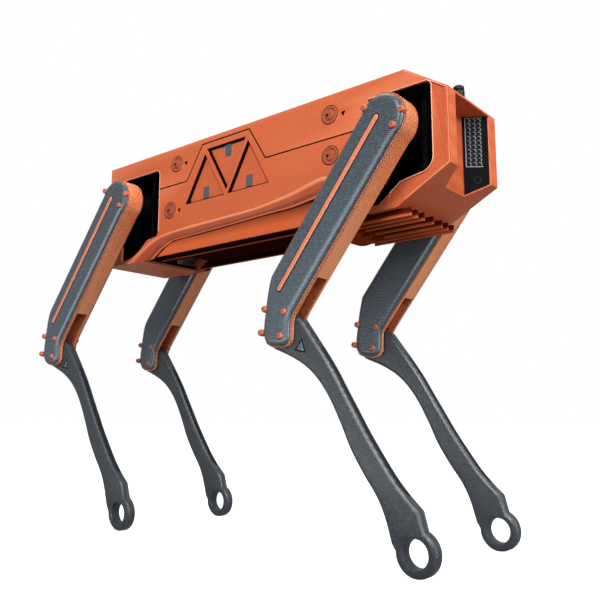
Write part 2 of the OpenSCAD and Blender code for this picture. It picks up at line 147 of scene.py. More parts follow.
def stripes(g, v, pitch_m, wobble=0.0, seed_scale=40.0):
    """Triangle-ish wave along a coordinate: printed layer lines. v is the coordinate in metres."""
    x = g.math("MULTIPLY", v, 1.0/pitch_m)
    if wobble:
        n = g.noise(g.obj, seed_scale, 2.0)
        x = g.math("ADD", x, g.math("MULTIPLY", n, wobble))
    s = g.math("SINE", g.math("MULTIPLY", x, 2*math.pi))
    return g.range(s, -1.0, 1.0, 0.0, 1.0)

def printed(name, base, dark, light, rough=0.42, line=0.0012, direction=(0.9, 0.0, 0.42), bumpd=0.00006, knurl=0.0, spec=0.5, coat=0.0, contrast=0.10, weave=None, reflection_lift=None, edge_highlight=0.35):
    g = G(name)
    x, y, z = g.sep(g.obj)
    c = g.math("ADD", g.math("ADD", g.math("MULTIPLY", x, direction[0]), g.math("MULTIPLY", y, direction[1])), g.math("MULTIPLY", z, direction[2]))
    ln = stripes(g, c, line, wobble=0.8, seed_scale=28.0)
    if weave:
        c2 = g.math("ADD", g.math("ADD", g.math("MULTIPLY", x, weave[0]), g.math("MULTIPLY", y, weave[1])), g.math("MULTIPLY", z, weave[2]))
        ln = g.math("MULTIPLY", ln, stripes(g, c2, line, wobble=0.6, seed_scale=33.0))
        ln = g.math("POWER", ln, 0.7)
    big = g.noise(g.obj, 9.0, 3.0, 0.55)
    fine = g.noise(g.obj, 420.0, 2.0, 0.6)
    # painted reflection: lower down, the colour is lifted towards a lighter grey to stand in for reflected light
    if reflection_lift:
        base = g.mix(g.range(z, 0.41, 0.22, 0.0, 1.0), base, reflection_lift)
        dark = g.mix(g.range(z, 0.41, 0.22, 0.0, 0.8), dark, reflection_lift)
    col = g.mix(g.range(big, 0.3, 0.7, 0.0, 1.0), base, dark)
    col = g.mix(g.math("MULTIPLY", ln, contrast), col, light)
    col = g.mix(g.math("MULTIPLY", g.range(fine, 0.45, 0.75, 0.0, 1.0), contrast*0.8), col, light)
    # painted highlight: the light colour is mixed in along sharp outer edges
    edge = g.edge(0.52, 0.62)
    col = g.mix(g.math("MULTIPLY", edge, edge_highlight), col, light)
    g.put(g.b.inputs["Base Color"], col)
    ro = g.math("ADD", g.range(big, 0.3, 0.7, rough-0.05, rough+0.06), g.math("MULTIPLY", ln, 0.06))
    g.put(g.b.inputs["Roughness"], ro)
    g.b.inputs["Specular IOR Level"].default_value = spec
    h = g.math("ADD", g.math("MULTIPLY", ln, 0.7), g.math("MULTIPLY", fine, 0.5))
    g.put(g.b.inputs["Normal"], g.bump(h, 0.6, bumpd))
    if coat:
        g.b.inputs["Coat Weight"].default_value = coat
        g.b.inputs["Coat Roughness"].default_value = 0.25
    return g.m

def lin(c):
    return tuple((v/255.0/12.92) if v/255.0 <= 0.04045 else ((v/255.0+0.055)/1.055)**2.4 for v in c)

def stripes2(g, v, pitch_m):
    t = g.math("PINGPONG", g.math("MULTIPLY", v, 2.0/pitch_m), 1.0)
    return t

def knurl_mat(name, base, dark, light):
    g = G(name)
    big = g.noise(g.obj, 700.0, 1.0)
    fine = g.noise(g.obj, 260.0, 2.0, 0.7)
    col = g.mix(g.range(big, 0.4, 0.6, 0.0, 1.0), base, dark)
    col = g.mix(g.range(fine, 0.52, 0.60, 0.0, 0.9), col, light)
    g.put(g.b.inputs["Base Color"], col)
    g.put(g.b.inputs["Roughness"], g.range(big, 0.3, 0.7, 0.22, 0.4))
    g.put(g.b.inputs["Normal"], g.bump(fine, 0.6, 0.0003))
    return g.m

ORANGE = printed("orange_print", lin((210, 92, 42)), lin((194, 78, 30)), lin((244, 146, 98)), rough=0.46, line=0.0026, direction=(0.99, 0.0, 0.13), contrast=0.20, bumpd=0.00014, spec=0.35)
ORANGE_TH = printed("orange_thigh", lin((214, 92, 38)), lin((184, 70, 26)), lin((255, 184, 128)), rough=0.36, line=0.0028, direction=(0.62, 0.55, 0.56), weave=(0.62, -0.55, 0.56), contrast=0.6, bumpd=0.00026)
ORANGE_SC = printed("orange_screw", lin((190, 80, 42)), lin((168, 64, 30)), lin((250, 175, 140)), rough=0.34, line=0.0012)
# painted highlight: a light orange for the rounded edge beads round the nose and the leg openings
ORANGE_RIM_HIGHLIGHT = printed("orange_rim_painted_highlight", lin((250, 168, 126)), lin((240, 146, 102)), lin((255, 214, 190)), rough=0.30, line=0.0030, contrast=0.2)
ORANGE_BELLY = printed("orange_belly", lin((150, 50, 20)), lin((112, 32, 12)), lin((214, 116, 84)), rough=0.40, line=0.0027, direction=(0.99, 0.0, 0.13), contrast=0.16, bumpd=0.00012)
def belly_mat():
    g = G("belly_print_painted_shade")
    xyz = g.t.nodes.new("ShaderNodeSeparateXYZ"); g.t.links.new(g.obj, xyz.inputs[0])
    x, y, z = xyz.outputs[0], xyz.outputs[1], xyz.outputs[2]
    ay = g.math("ABSOLUTE", y, 0.0)
    ln = stripes(g, g.math("ADD", g.math("MULTIPLY", x, 0.99), g.math("MULTIPLY", z, 0.13)), 0.0026, wobble=0.6, seed_scale=30.0)
    # painted shade: the side band is darker near its top, under the lip, and lighter lower down
    band = g.mix(g.range(z, 0.3565, 0.3400, 0.0, 1.0), lin((92, 32, 15)), lin((214, 98, 56)))
    band = g.mix(g.math("MULTIPLY", ln, 0.12), band, lin((244, 150, 104)))
    # painted shade: slot interiors and rib sides are dark, the lowest rib faces a lit orange; the front block is dark
    # except its lowest faces
    dark = lin((46, 12, 7))
    rib = g.mix(g.math("MULTIPLY", g.range(z, 0.3298, 0.3292, 0.0, 1.0), g.range(ay, 0.0300, 0.0305, 0.0, 1.0)), dark, lin((196, 92, 56)))
    front = g.mix(g.range(z, 0.3250, 0.3225, 0.0, 1.0), lin((84, 26, 13)), lin((214, 104, 62)))
    front = g.mix(g.range(z, 0.3300, 0.3440, 0.0, 1.0), front, dark)
    inner = g.mix(g.range(x, 0.1495, 0.1505, 0.0, 1.0), rib, front)
    pod = g.math("MULTIPLY", g.range(ay, 0.0264, 0.0260, 0.0, 1.0), g.math("MULTIPLY", g.range(x, 0.1150, 0.1180, 0.0, 1.0), g.math("MULTIPLY", g.range(x, 0.1790, 0.1780, 0.0, 1.0), g.range(z, 0.3334, 0.3326, 0.0, 1.0))))
    inner = g.mix(pod, inner, lin((150, 58, 30)))
    col = g.mix(g.range(ay, 0.0440, 0.0446, 0.0, 1.0), inner, band)
    g.put(g.b.inputs["Base Color"], col)
    g.b.inputs["Roughness"].default_value = 0.45
    g.b.inputs["Specular IOR Level"].default_value = 0.0
    g.put(g.b.inputs["Normal"], g.bump(ln, 0.5, 0.00012))
    return g.m
BELLY = belly_mat()
DEEP = printed("deep_shadow", lin((16, 5, 4)), lin((9, 3, 2)), lin((40, 14, 9)), rough=0.7, line=0.0022, contrast=0.1, spec=0.05, edge_highlight=0.0)
STRIPE = printed("stripe_print", lin((226, 116, 70)), lin((206, 96, 52)), lin((255, 196, 160)), rough=0.28, line=0.0014, contrast=0.3)
BOLTC = printed("bolt_print", lin((168, 68, 34)), lin((130, 48, 22)), lin((240, 150, 110)), rough=0.5, line=0.0012, contrast=0.15, edge_highlight=0.25, spec=0.25)
# painted highlight and painted shade: graded copies of the orange for the rows of the side lip
LIP_HIGHLIGHT = printed("lip_painted_highlight", lin((240, 138, 92)), lin((226, 120, 76)), lin((255, 190, 150)), rough=0.36, line=0.0026, direction=(0.99, 0.0, 0.13), contrast=0.15)
LIP_SHADE_LIGHT = printed("lip_painted_shade_1", lin((186, 80, 40)), lin((168, 66, 30)), lin((214, 110, 66)), rough=0.42, line=0.0026, direction=(0.99, 0.0, 0.13), contrast=0.15, spec=0.2)
LIP_SHADE_MID = printed("lip_painted_shade_2", lin((148, 58, 28)), lin((128, 46, 20)), lin((170, 80, 44)), rough=0.46, line=0.0026, direction=(0.99, 0.0, 0.13), contrast=0.15, spec=0.2)
LIP_SHADE_DEEP = printed("lip_painted_shade_3", lin((98, 34, 16)), lin((70, 22, 10)), lin((110, 46, 26)), rough=0.6, line=0.0026, contrast=0.15, spec=0.2)
# slate covers: lighter towards the bottom as a painted reflection
SLATE = printed("slate_print", lin((30, 34, 40)), lin((19, 22, 27)), lin((112, 130, 142)), rough=0.30, line=0.0017, direction=(0.12, 0.0, 0.99), contrast=0.42, bumpd=0.00022, spec=0.42, coat=0.35, reflection_lift=lin((58, 65, 74)))
GRAPH = printed("graphite_print", lin((40, 44, 49)), lin((29, 32, 36)), lin((92, 100, 108)), rough=0.38, line=0.0022, direction=(0.60, 0.30, 0.74), contrast=0.36, bumpd=0.00018, coat=0.15, weave=(0.60, -0.30, 0.74), edge_highlight=0.2)
BLACK = printed("black_print", lin((7, 7, 8)), lin((4, 4, 5)), lin((26, 28, 32)), rough=0.42, line=0.0022, contrast=0.2, spec=0.25)
# near-black: painted shade inside the body, also the outline of the triangle marks on the shanks
NIGHT = printed("inside_shade_and_mark_black", lin((3, 3, 4)), lin((1, 1, 2)), lin((12, 13, 15)), rough=0.7, line=0.0022, contrast=0.1, spec=0.05, edge_highlight=0.0)
GLOSSB = printed("sensor_black", lin((2, 2, 3)), lin((1, 1, 2)), lin((14, 16, 19)), rough=0.5, line=0.0014, contrast=0.05, spec=0.05)
STEEL = printed("machined_steel", lin((110, 112, 116)), lin((90, 92, 96)), lin((180, 182, 185)), rough=0.35, line=0.0006)
STEEL.node_tree.nodes["Principled BSDF"].inputs["Metallic"].default_value = 1.0
BOARD = printed("board_green", lin((18, 84, 44)), lin((14, 70, 36)), lin((60, 120, 80)), rough=0.45, line=0.002)
SGREY = printed("sensor_grey", lin((3, 3, 4)), lin((2, 2, 3)), lin((60, 66, 74)), rough=0.5, line=0.0009, contrast=0.05, spec=0.05)
# pale colour: a painted highlight on the lit crescents of the grille hole rims, also used for the thin grille frame
PALE_RIM_HIGHLIGHT = printed("pale_rim_highlight", lin((150, 158, 168)), lin((120, 128, 138)), lin((225, 230, 236)), rough=0.28, line=0.0009, contrast=0.3)
INLAY = printed("inlay_grey", lin((52, 66, 76)), lin((42, 54, 63)), lin((100, 114, 124)), rough=0.5, line=0.0024, contrast=0.2, spec=0.25)
KNURL = printed("orange_knurl", lin((160, 62, 26)), lin((130, 46, 18)), lin((220, 120, 76)), rough=0.34, line=0.0012, contrast=0.2, edge_highlight=0.1)
SPARK = printed("knurl_glint", lin((246, 176, 124)), lin((232, 150, 98)), lin((255, 226, 196)), rough=0.25, line=0.0012, contrast=0.3)

MATS = {"orange_plastic": ORANGE, "orange_screw": ORANGE_SC, "slate_plastic": SLATE, "graphite_plastic": GRAPH,
        "black_plastic": BLACK, "machined_steel": STEEL, "sensor_black": GLOSSB, "sensor_grey": SGREY, "board": BOARD}
slots = {s["node"]: s["material_slot"] for s in frame["record"]["subparts"]}
BODY = {}
for bname, nodes in frame["record"]["behaviour"]["bodies"].items():
    for nn in nodes:
        BODY[nn] = bname

def setmat(o, mat):
    o.data.materials.clear()
    o.data.materials.append(mat)

# ------------------------------------------------------------------ mesh helpers (all in mm)
from mathutils.geometry import tessellate_polygon

def finish_obj(name, verts, faces, body, mat, replaces=None, flat=(), angle=38):
    me = bpy.data.meshes.new(name)
    me.from_pydata([(v[0]*MM, v[1]*MM, v[2]*MM) for v in verts], [], faces)
    bm = bmesh.new(); bm.from_mesh(me)
    bmesh.ops.remove_doubles(bm, verts=bm.verts, dist=1e-7)
    bmesh.ops.recalc_face_normals(bm, faces=bm.faces)
    bm.to_mesh(me); bm.free()
    for p in me.polygons:
        p.use_smooth = True
    me.update()
    o = bpy.data.objects.new(name, me)
    bpy.context.scene.collection.objects.link(o)
    try:
        me.set_sharp_from_angle(angle=math.radians(angle))
    except Exception:
        pass
    setmat(o, mat)
    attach(o, body)
    if replaces:
        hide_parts(*replaces)
    return o

class Mesh:
    def __init__(self):
        self.v, self.f = [], []
    def loop(self, pts):
        i = len(self.v); self.v += [tuple(p) for p in pts]
        return list(range(i, i+len(pts)))
    def band(self, a, b, closed=True):
        n = len(a)
        for i in range(n if closed else n-1):
            j = (i+1) % n
            self.f.append((a[i], a[j], b[j], b[i]))
    def cap(self, loops):
        """Fill between an outer loop and any holes; every loop is a list of vertex ids."""
        polys = [[Vector(self.v[i]) for i in l] for l in loops]
        ids = [i for l in loops for i in l]
        for t in tessellate_polygon(polys):
            self.f.append(tuple(ids[k] for k in t))
    def fan(self, a):
        self.f.append(tuple(a))

def round_corners(pts, cut=4.0, seg=5, keep=()):
    """Every corner of a closed polygon becomes a short curve; the count of points depends only on the input count."""
    out = []
    n = len(pts)
    for i in range(n):
        p0, p, p1 = Vector(pts[i-1]), Vector(pts[i]), Vector(pts[(i+1) % n])
        if i in keep:
            out.append(tuple(p)); continue
        c = cut[i] if isinstance(cut, (list, tuple)) else cut
        a = p + (p0-p).normalized()*min(c, (p0-p).length*0.48)
        b = p + (p1-p).normalized()*min(c, (p1-p).length*0.48)
        for k in range(seg+1):
            t = k/seg
            q = a*(1-t)**2 + p*2*t*(1-t) + b*t*t
            out.append(tuple(q))
    return out

# leg numbers, the same as in the CAD source
HX, HZ, WB = 248.0, 402.0, 398.5
KX, KZ = -128.75, -178.4
BA = math.radians(38.46)
BX, BZ = -math.sin(BA), -math.cos(BA)
NX, NZ = math.cos(BA), -math.sin(BA)
F0, F1, LO, LI = 69.5, 91.25, 96.75, 64.0
MID = (F0+F1)/2
SL, SA = 252.56, math.radians(36.28)
UP = [(-16.5, 13.5), (14.0, -10.8)]
RIM = [(22.2, 2.4)]
ka = math.radians(10.9)
LOW = [(a*math.cos(ka)+b*math.sin(ka), -a*math.sin(ka)+b*math.cos(ka)) for a in (-12.9, 12.9) for b in (-11.85, 11.85)]
LEGS = {"fl": (0.0, 1), "fr": (0.0, -1), "rl": (-WB, 1), "rr": (-WB, -1)}

def place(leg, pts):
    dx, s = LEGS[leg]
    return [(p[0]+dx, p[1]*s, p[2]) for p in pts]

def thigh_loop(g):
    """Outline of the thigh inset by g, relative to the hip axis, starting at the front edge of the cap."""
    w, rc = 24.0-g, 25.0-g
    along = math.sqrt(max(rc*rc-w*w, 0.01))
    a0 = math.atan2(w, -along)      # angle in the (bar direction, normal) frame
    arc = []
    # local frame: u along -bar (up), v along the front normal
    th0 = math.atan2(w, -along); th1 = -th0
    n = 36
    for i in range(n+1):
        th = th0 + (th1-th0)*i/n
        uu, vv = rc*math.cos(th), rc*math.sin(th)
        arc.append((-BX*uu + NX*vv, -BZ*uu + NZ*vv))
    # th0..th1 runs from the front edge over the top to the rear edge
    K = lambda x, z: (KX+x, KZ+z)
    R = (187*BX - w*NX, 187*BZ - w*NZ)
    F = (187*BX + w*NX, 187*BZ + w*NZ)
    knee = [R, K(-11+g, 27), K(-15.5+g, -3), K(-15+g, -14+g*0.4), K(-11.5+g*0.8, -20.5+g*0.8), K(-4, -24+g),
            K(8, -25.2+g), K(16-g*0.7, -23.5+g*0.8), K(20-g, -18.5+g*0.5), K(20.75-g, 3+g*0.35), F]
    pts = arc + knee
    m = len(arc)
    cut = [0.0]*m + [7.0, 5.0, 5.0, 4.0, 4.0, 4.0, 4.0, 4.0, 4.0, 7.0, 8.0]
    return round_corners(pts, cut, 4, keep=set(range(m)))

def cover(leg, outer):
    base, thick = (F1, 5.5) if outer else (F0, -5.5)
    sg = 1 if outer else -1
    m = Mesh()
    prof = [(1.5, 0.0), (1.5, 0.5)]
    n = 9
    for i in range(n+1):
        t = math.pi/2*i/n
        prof.append((1.5+6.6*(1-math.cos(t)), 0.5+(abs(thick)-0.5)*math.sin(t)))
    loops = []
    for g, h in prof:
        loops.append(m.loop(place(leg, [(HX+x, base+sg*h, HZ+z) for x, z in thigh_loop(g)])))
    for a, b in zip(loops, loops[1:]):
        m.band(a, b)
    m.cap([loops[-1]]); m.cap([loops[0]])
    nm = "outer_cover" if outer else "inner_cover"
    o = finish_obj(f"cover_{'out' if outer else 'in'}_{leg}", m.v, m.f, "thigh_"+leg, SLATE, [f"{nm}_{leg}"], angle=50)
    return o

def peg(m, leg, x, z, y0, y1, r=3.75, rt=2.5, sides=24):
    """A tall rounded screw head from y0 to y1."""
    hh = abs(y1-y0); sg = 1 if y1 > y0 else -1
    prof = [(r*0.94, 0.0), (r*0.94, hh*0.45), (r*0.90, hh*0.70), (r*0.80, hh*0.88), (rt, hh*0.98), (rt*0.9, hh), (rt*0.42, hh), (rt*0.36, hh-0.5)]
    ls = []
    for rr, h in prof:
        ls.append(m.loop(place(leg, [(HX+x+rr*math.cos(2*math.pi*i/sides), y0+sg*h, HZ+z+rr*math.sin(2*math.pi*i/sides)) for i in range(sides)])))
    for a, b in zip(ls, ls[1:]):
        m.band(a, b)
    m.fan(ls[0]); m.fan(ls[-1])

def screws(leg):
    m = Mesh()
    for x, z in UP:
        peg(m, leg, x, z, F1+1.5, LO+2.3)
    for x, z in RIM:
        peg(m, leg, x, z, F1-1.0, LO+0.1)
    for x, z in LOW:
        peg(m, leg, KX+x, KZ+z, F1+1.5, LO+2.3)
        peg(m, leg, KX+x, KZ+z, F0-1.5, LI-2.3)
    finish_obj(f"screw_heads_{leg}", m.v, m.f, "thigh_"+leg, ORANGE_SC, [f"thigh_screws_{leg}"], angle=30)

def capsule(cx, cz, w, length, n=10):
    """Outline of a bar with round ends running down the thigh from (cx, cz)."""
    out = []
    for i in range(n+1):
        a = math.pi*i/n
        out.append((cx + w*(NX*math.cos(a) - BX*math.sin(a)), cz + w*(NZ*math.cos(a) - BZ*math.sin(a))))
    for i in range(n+1):
        a = math.pi*i/n
        out.append((cx + BX*length - w*(NX*math.cos(a) - BX*math.sin(a)), cz + BZ*length - w*(NZ*math.cos(a) - BZ*math.sin(a))))
    return out

def stripe(leg):
    m = Mesh()
    cx, cz = HX-3.35, HZ+1.0
    ls = []
    for w, h in [(2.4, -0.2), (2.4, 0.55), (2.2, 0.92), (1.75, 1.13), (1.0, 1.2)]:
        ls.append(m.loop(place(leg, [(x, LO+h, z) for x, z in capsule(cx, cz, w, 187.5)])))
    for a, b in zip(ls, ls[1:]):
        m.band(a, b)
    m.cap([ls[0]]); m.cap([ls[-1]])
    finish_obj(f"stripe_{leg}", m.v, m.f, "thigh_"+leg, STRIPE, [f"thigh_stripe_{leg}"], angle=60)
    # painted shadow: a black capsule a little wider than the stripe, for the shade in the groove round it
    m = Mesh()
    a = m.loop(place(leg, [(x, LO-0.3, z) for x, z in capsule(cx, cz, 3.7, 187.5)]))
    b = m.loop(place(leg, [(x, LO+0.12, z) for x, z in capsule(cx, cz, 3.6, 187.5)]))
    m.band(a, b); m.cap([a]); m.cap([b])
    finish_obj(f"stripe_shadow_bed_{leg}", m.v, m.f, "thigh_"+leg, BLACK, angle=60)

def resample(pts, step):
    out = []
    n = len(pts)
    for i in range(n):
        p, q = Vector(pts[i]), Vector(pts[(i+1) % n])
        k = max(1, int(round((q-p).length/step)))
        for j in range(k):
            out.append(tuple(p.lerp(q, j/k)))
    return out

def knurl(leg):
    """Knurled band along the outer edge of the thigh frame: rows of small slanted facets."""
    m = Mesh()
    base = resample(thigh_loop(0.0), 1.5)
    if len(base) % 2:
        base.append(tuple((Vector(base[-1])+Vector(base[0]))/2))
    cen = len(base)
    area_ = sum(base[i][0]*base[(i+1) % cen][1]-base[(i+1) % cen][0]*base[i][1] for i in range(cen))
    s = -1 if area_ > 0 else 1
    def row(y, amp, shift=0.0):
        out = []
        for i, p in enumerate(base):
            a, b = Vector(base[i-1]), Vector(base[(i+1) % cen])
            t = (b-a).normalized(); nn = Vector((-t.y, t.x))
            q = Vector(p) + t*shift + nn*amp(i)*s
            out.append((HX+q.x, y, HZ+q.y))
        return m.loop(place(leg, out))
    rows = [row(F1-3.5, lambda i: -0.2)]
    ys = [F1-3.4, F1-2.4, F1-1.4, F1-0.4]
    for k, y in enumerate(ys):
        rows.append(row(y, lambda i, k=k: 0.06 + (0.26 if (i+k) % 2 else 0.0), shift=0.75*(k % 2)))
    rows.append(row(F1+0.03, lambda i: 0.03))
    rows.append(row(F1+0.05, lambda i: -0.6))
    mats = []
    for k, (a, b) in enumerate(zip(rows, rows[1:])):
        m.band(a, b)
        for i in range(cen):
            mats.append(1 if (k in (1, 2, 3) and (i+k) % 2 == 0) else 0)
    o = finish_obj(f"knurl_{leg}", m.v, m.f, "thigh_"+leg, KNURL, angle=12)
    o.data.materials.append(SPARK)
    if len(o.data.polygons) == len(mats):
        for p, mi in zip(o.data.polygons, mats):
            p.material_index = mi

# ---- lower legs
ST = [(0.06, -21, 24), (0.15, -7.2, 24.4), (0.23, 1.5, 24.7), (0.31, 5, 24.4), (0.39, 4.7, 22.7),
      (0.48, 1.6, 21), (0.58, -3.2, 19.2), (0.68, -4.8, 18.6), (0.77, -4.9, 18.8), (0.84, -8, 20.8), (0.92, -15, 24.4), (0.945, -17.5, 24)]
def spline(vals, t):
    """Catmull-Rom through (t, v) pairs."""
    ts = [v[0] for v in vals]
    for i in range(len(vals)-1):
        if ts[i] <= t <= ts[i+1]:
            break
    p1, p2 = vals[i], vals[i+1]
    p0 = vals[i-1] if i else p1
    p3 = vals[i+2] if i+2 < len(vals) else p2
    h = p2[0]-p1[0]; x = (t-p1[0])/h
    m1 = (p2[1]-p0[1])/(p2[0]-p0[0])*h if p2[0] != p0[0] else 0
    m2 = (p3[1]-p1[1])/(p3[0]-p1[0])*h if p3[0] != p1[0] else 0
    return (2*x**3-3*x*x+1)*p1[1] + (x**3-2*x*x+x)*m1 + (-2*x**3+3*x*x)*p2[1] + (x**3-x*x)*m2

def shank_loop(g, groove=0.0):
    """(x, z) outline relative to the knee, inset by g; groove pushes the front edge in."""
    fr = [(t, f) for t, _, f in ST]; re = [(t, b) for t, b, _ in ST]
    n = 40
    pts = []
    # front edge from the knee to the foot
    t0, t1 = 0.06, 0.90
    for i in range(n+1):
        t = t0 + (t1-t0)*i/n
        k = 0.0
        if groove:
            k = groove*min(1, max(0, (t-0.18)/0.02))*min(1, max(0, (0.83-t)/0.02))
        pts.append((t*SL, spline(fr, t)-g-k))
    # foot ring, front to rear
    R = 20.0-g
    a0 = math.acos(max(-1, min(1, (0.90*SL-SL)/R)))
    m = 40
    fy = math.sqrt(max(R*R-(0.10*SL)**2, 0)) if R > 0.10*SL else 0
    for i in range(m+1):
        a = math.radians(118) - math.radians(118+128)*i/m
        pts.append((SL+R*math.cos(a), R*math.sin(a)))
    # notch behind the ring, then the rear edge back to the knee
    for i in range(n+1):
        t = 0.925 + (0.06-0.925)*i/n
        pts.append((t*SL, spline(re, t)+g))
    # knee end, rear to front, a round end of radius 16
    for i in range(17):
        a = math.radians(232 - (232-90)*i/16)
        pts.append(((16-g)*math.cos(a), (16-g)*math.sin(a)))
    ca, sa = math.cos(SA-math.pi/2), math.sin(SA-math.pi/2)
    return [(ca*x - sa*y, sa*x + ca*y) for x, y in pts]

def circle2(cx, cz, r, n=40):
    return [(cx+r*math.cos(2*math.pi*i/n), cz+r*math.sin(2*math.pi*i/n)) for i in range(n)]

def shank(leg):
    m = Mesh()
    t = 13.0; s0, s1 = MID-t/2, MID+t/2
    prof = [(3.6, 0.0, 0), (3.2, 0.06, 0), (0.5, 2.1, 0), (0.12, 2.5, 0), (0.0, 3.0, 0), (0.0, 3.9, 0), (0.1, 4.0, 4.6),
            (0.1, t-4.0, 4.6), (0.0, t-3.9, 0), (0.0, t-3.0, 0), (0.12, t-2.5, 0), (0.5, t-2.1, 0), (3.2, t-0.06, 0), (3.6, t, 0)]
    def L(pts, y):
        return m.loop(place(leg, [(HX+KX+x, y, HZ+KZ+z) for x, z in pts]))
    loops = [L(shank_loop(g, gr), s1-h) for g, h, gr in prof]
    for a, b in zip(loops, loops[1:]):
        m.band(a, b)
    fx, fz = SL*math.sin(SA), -SL*math.cos(SA)
    holes = []
    for cx, cz, r in ((fx, fz, 12.25), (0, 0, 11.06)):
        hp = [(r+1.3, 0.0), (r+0.4, 0.35), (r, 1.3), (r, t-1.3), (r+0.4, t-0.35), (r+1.3, t)]
        hl = [L(circle2(cx, cz, rr), s1-h) for rr, h in hp]
        for a, b in zip(hl, hl[1:]):
            m.band(a, b)
        holes.append(hl)
    m.cap([loops[0], holes[0][0], holes[1][0]])
    m.cap([loops[-1], holes[0][-1], holes[1][-1]])
    o = finish_obj(f"lower_leg_shell_{leg}", m.v, m.f, "lower_leg_"+leg, GRAPH, [f"shank_{leg}"], angle=40)
    # outlined triangle below the knee, on the outside face
    tri = [(29.8, -16.6), (20.2, -27.9), (34.4, -31.2)]
    mk = Mesh()
    c = (sum(p[0] for p in tri)/3, sum(p[1] for p in tri)/3)
    def T(k, y):
        return mk.loop(place(leg, [(HX+KX+c[0]+(p[0]-c[0])*k, y, HZ+KZ+c[1]+(p[1]-c[1])*k) for p in tri]))
    ls = [T(1.02, s1-0.3), T(1.0, s1+0.12), T(0.74, s1+0.12), T(0.70, s1-0.3)]
    for a, b in zip(ls, ls[1:]+ls[:1]):
        mk.band(a, b)
    finish_obj(f"leg_mark_{leg}", mk.v, mk.f, "lower_leg_"+leg, NIGHT, angle=30)
    mk = Mesh()
    ls = [T(0.70, s1-0.3), T(0.68, s1+0.10), T(0.60, s1+0.30), T(0.3, s1+0.36)]
    for a, b in zip(ls, ls[1:]):
        mk.band(a, b)
    mk.fan(ls[0]); mk.fan(ls[-1])
    finish_obj(f"leg_mark_pad_{leg}", mk.v, mk.f, "lower_leg_"+leg, SLATE, angle=30)
    return o

for leg in LEGS:
    cover(leg, True); cover(leg, False); screws(leg); stripe(leg); knurl(leg); shank(leg)

# ------------------------------------------------------------------ body details (mm, both sides)
LIP = [(-173, 329), (-132, 350.5), (-103, 357), (-60, 359.5), (27, 361.5), (58, 363), (102, 368.5), (130, 374.5), (147, 377), (160, 373), (176, 360), (196, 340), (202, 329)]
EDGE = [(-129.5, 329), (-112, 340), (-90, 348.3), (-39, 349.8), (20, 352), (60, 353.9), (102.5, 355), (130, 358.5), (150, 362), (163, 361), (178, 352), (196, 336), (202, 329)]
SIDES = {"l": 1, "r": -1}
def dense(pts, k=6):
    out = []
    for i in range(len(pts)-1):
        p1, p2 = Vector(pts[i]), Vector(pts[i+1])
        p0 = Vector(pts[i-1]) if i else p1
        p3 = Vector(pts[i+2]) if i+2 < len(pts) else p2
        for j in range(k):
            t = j/k
            q = 0.5*((2*p1) + (p2-p0)*t + (2*p0-5*p1+4*p2-p3)*t*t + (3*p1-p0-3*p2+p3)*t**3)
            out.append((q.x, q.y))
    out.append(tuple(pts[-1]))
    return out

def side(pts, s):
    return [(p[0], p[1]*s, p[2]) for p in pts]

def lip_strip(tag, s):
    m = Mesh()
    a, b = dense(LIP), dense(EDGE)
    prof = [(-0.18, 49.6), (-0.14, 50.15), (-0.05, 50.50), (0.03, 50.62), (0.12, 50.50), (0.22, 50.15), (0.34, 49.70), (0.46, 49.20), (0.58, 48.70), (0.70, 48.2), (0.82, 47.75), (0.95, 47.35), (1.05, 47.15), (1.10, 46.9), (1.05, 46.2), (0.9, 46.1)]
    rows = []
    for t, y in prof:
        rows.append(m.loop(side([(p[0]+t*(q[0]-p[0]), y, p[1]+t*(q[1]-p[1])) for p, q in zip(a, b)], s)))
    for r0, r1 in zip(rows, rows[1:]):
        m.band(r0, r1, closed=False)
    o = finish_obj("side_lip_"+tag, m.v, m.f, "torso", ORANGE, angle=60)
    for mt_ in (LIP_HIGHLIGHT, LIP_SHADE_LIGHT, LIP_SHADE_MID, LIP_SHADE_DEEP, DEEP):
        o.data.materials.append(mt_)
    per = len(a)-1
    # rows: plain orange, painted highlight, orange, then darker painted shade copies and the deep shadow colour under
    # the lip
    light_shade_rows = [0, 1, 1, 1, 0, 2, 2, 2, 3, 3, 3, 4, 5, 5, 5]
    if len(o.data.polygons) == per*len(light_shade_rows):
        for i, p in enumerate(o.data.polygons):
            p.material_index = light_shade_rows[i//per]
    else:
        print("LIP COUNT", len(o.data.polygons), per*len(light_shade_rows))

def ribbon(m, pts, w, y0, y1, s, closed=False):
    """A flat strip of width w along (x, z) points, from y0 up to y1."""
    n = len(pts)
    L, R = [], []
    for i in range(n):
        p = Vector(pts[i])
        if closed:
            p0, p1 = Vector(pts[i-1]), Vector(pts[(i+1) % n])
        else:
            p0, p1 = Vector(pts[max(0, i-1)]), Vector(pts[min(n-1, i+1)])
        d0 = (p-p0).normalized() if (p-p0).length > 0 else (p1-p).normalized()
        d1 = (p1-p).normalized() if (p1-p).length > 0 else d0
        t = (d0+d1).normalized()
        k = 1.0/max(0.35, t.dot(d1))
        nn = Vector((-t.y, t.x))*(w/2*k)
        L.append(p+nn); R.append(p-nn)
    a = m.loop(side([(q.x, y1, q.y) for q in L], s)); b = m.loop(side([(q.x, y1, q.y) for q in R], s))
    c = m.loop(side([(q.x, y0, q.y) for q in R], s)); d_ = m.loop(side([(q.x, y0, q.y) for q in L], s))
    for u_, v_ in ((a, b), (b, c), (c, d_), (d_, a)):
        m.band(u_, v_, closed=closed)
    if not closed:
        m.f.append((a[0], b[0], c[0], d_[0])); m.f.append((a[-1], b[-1], c[-1], d_[-1]))

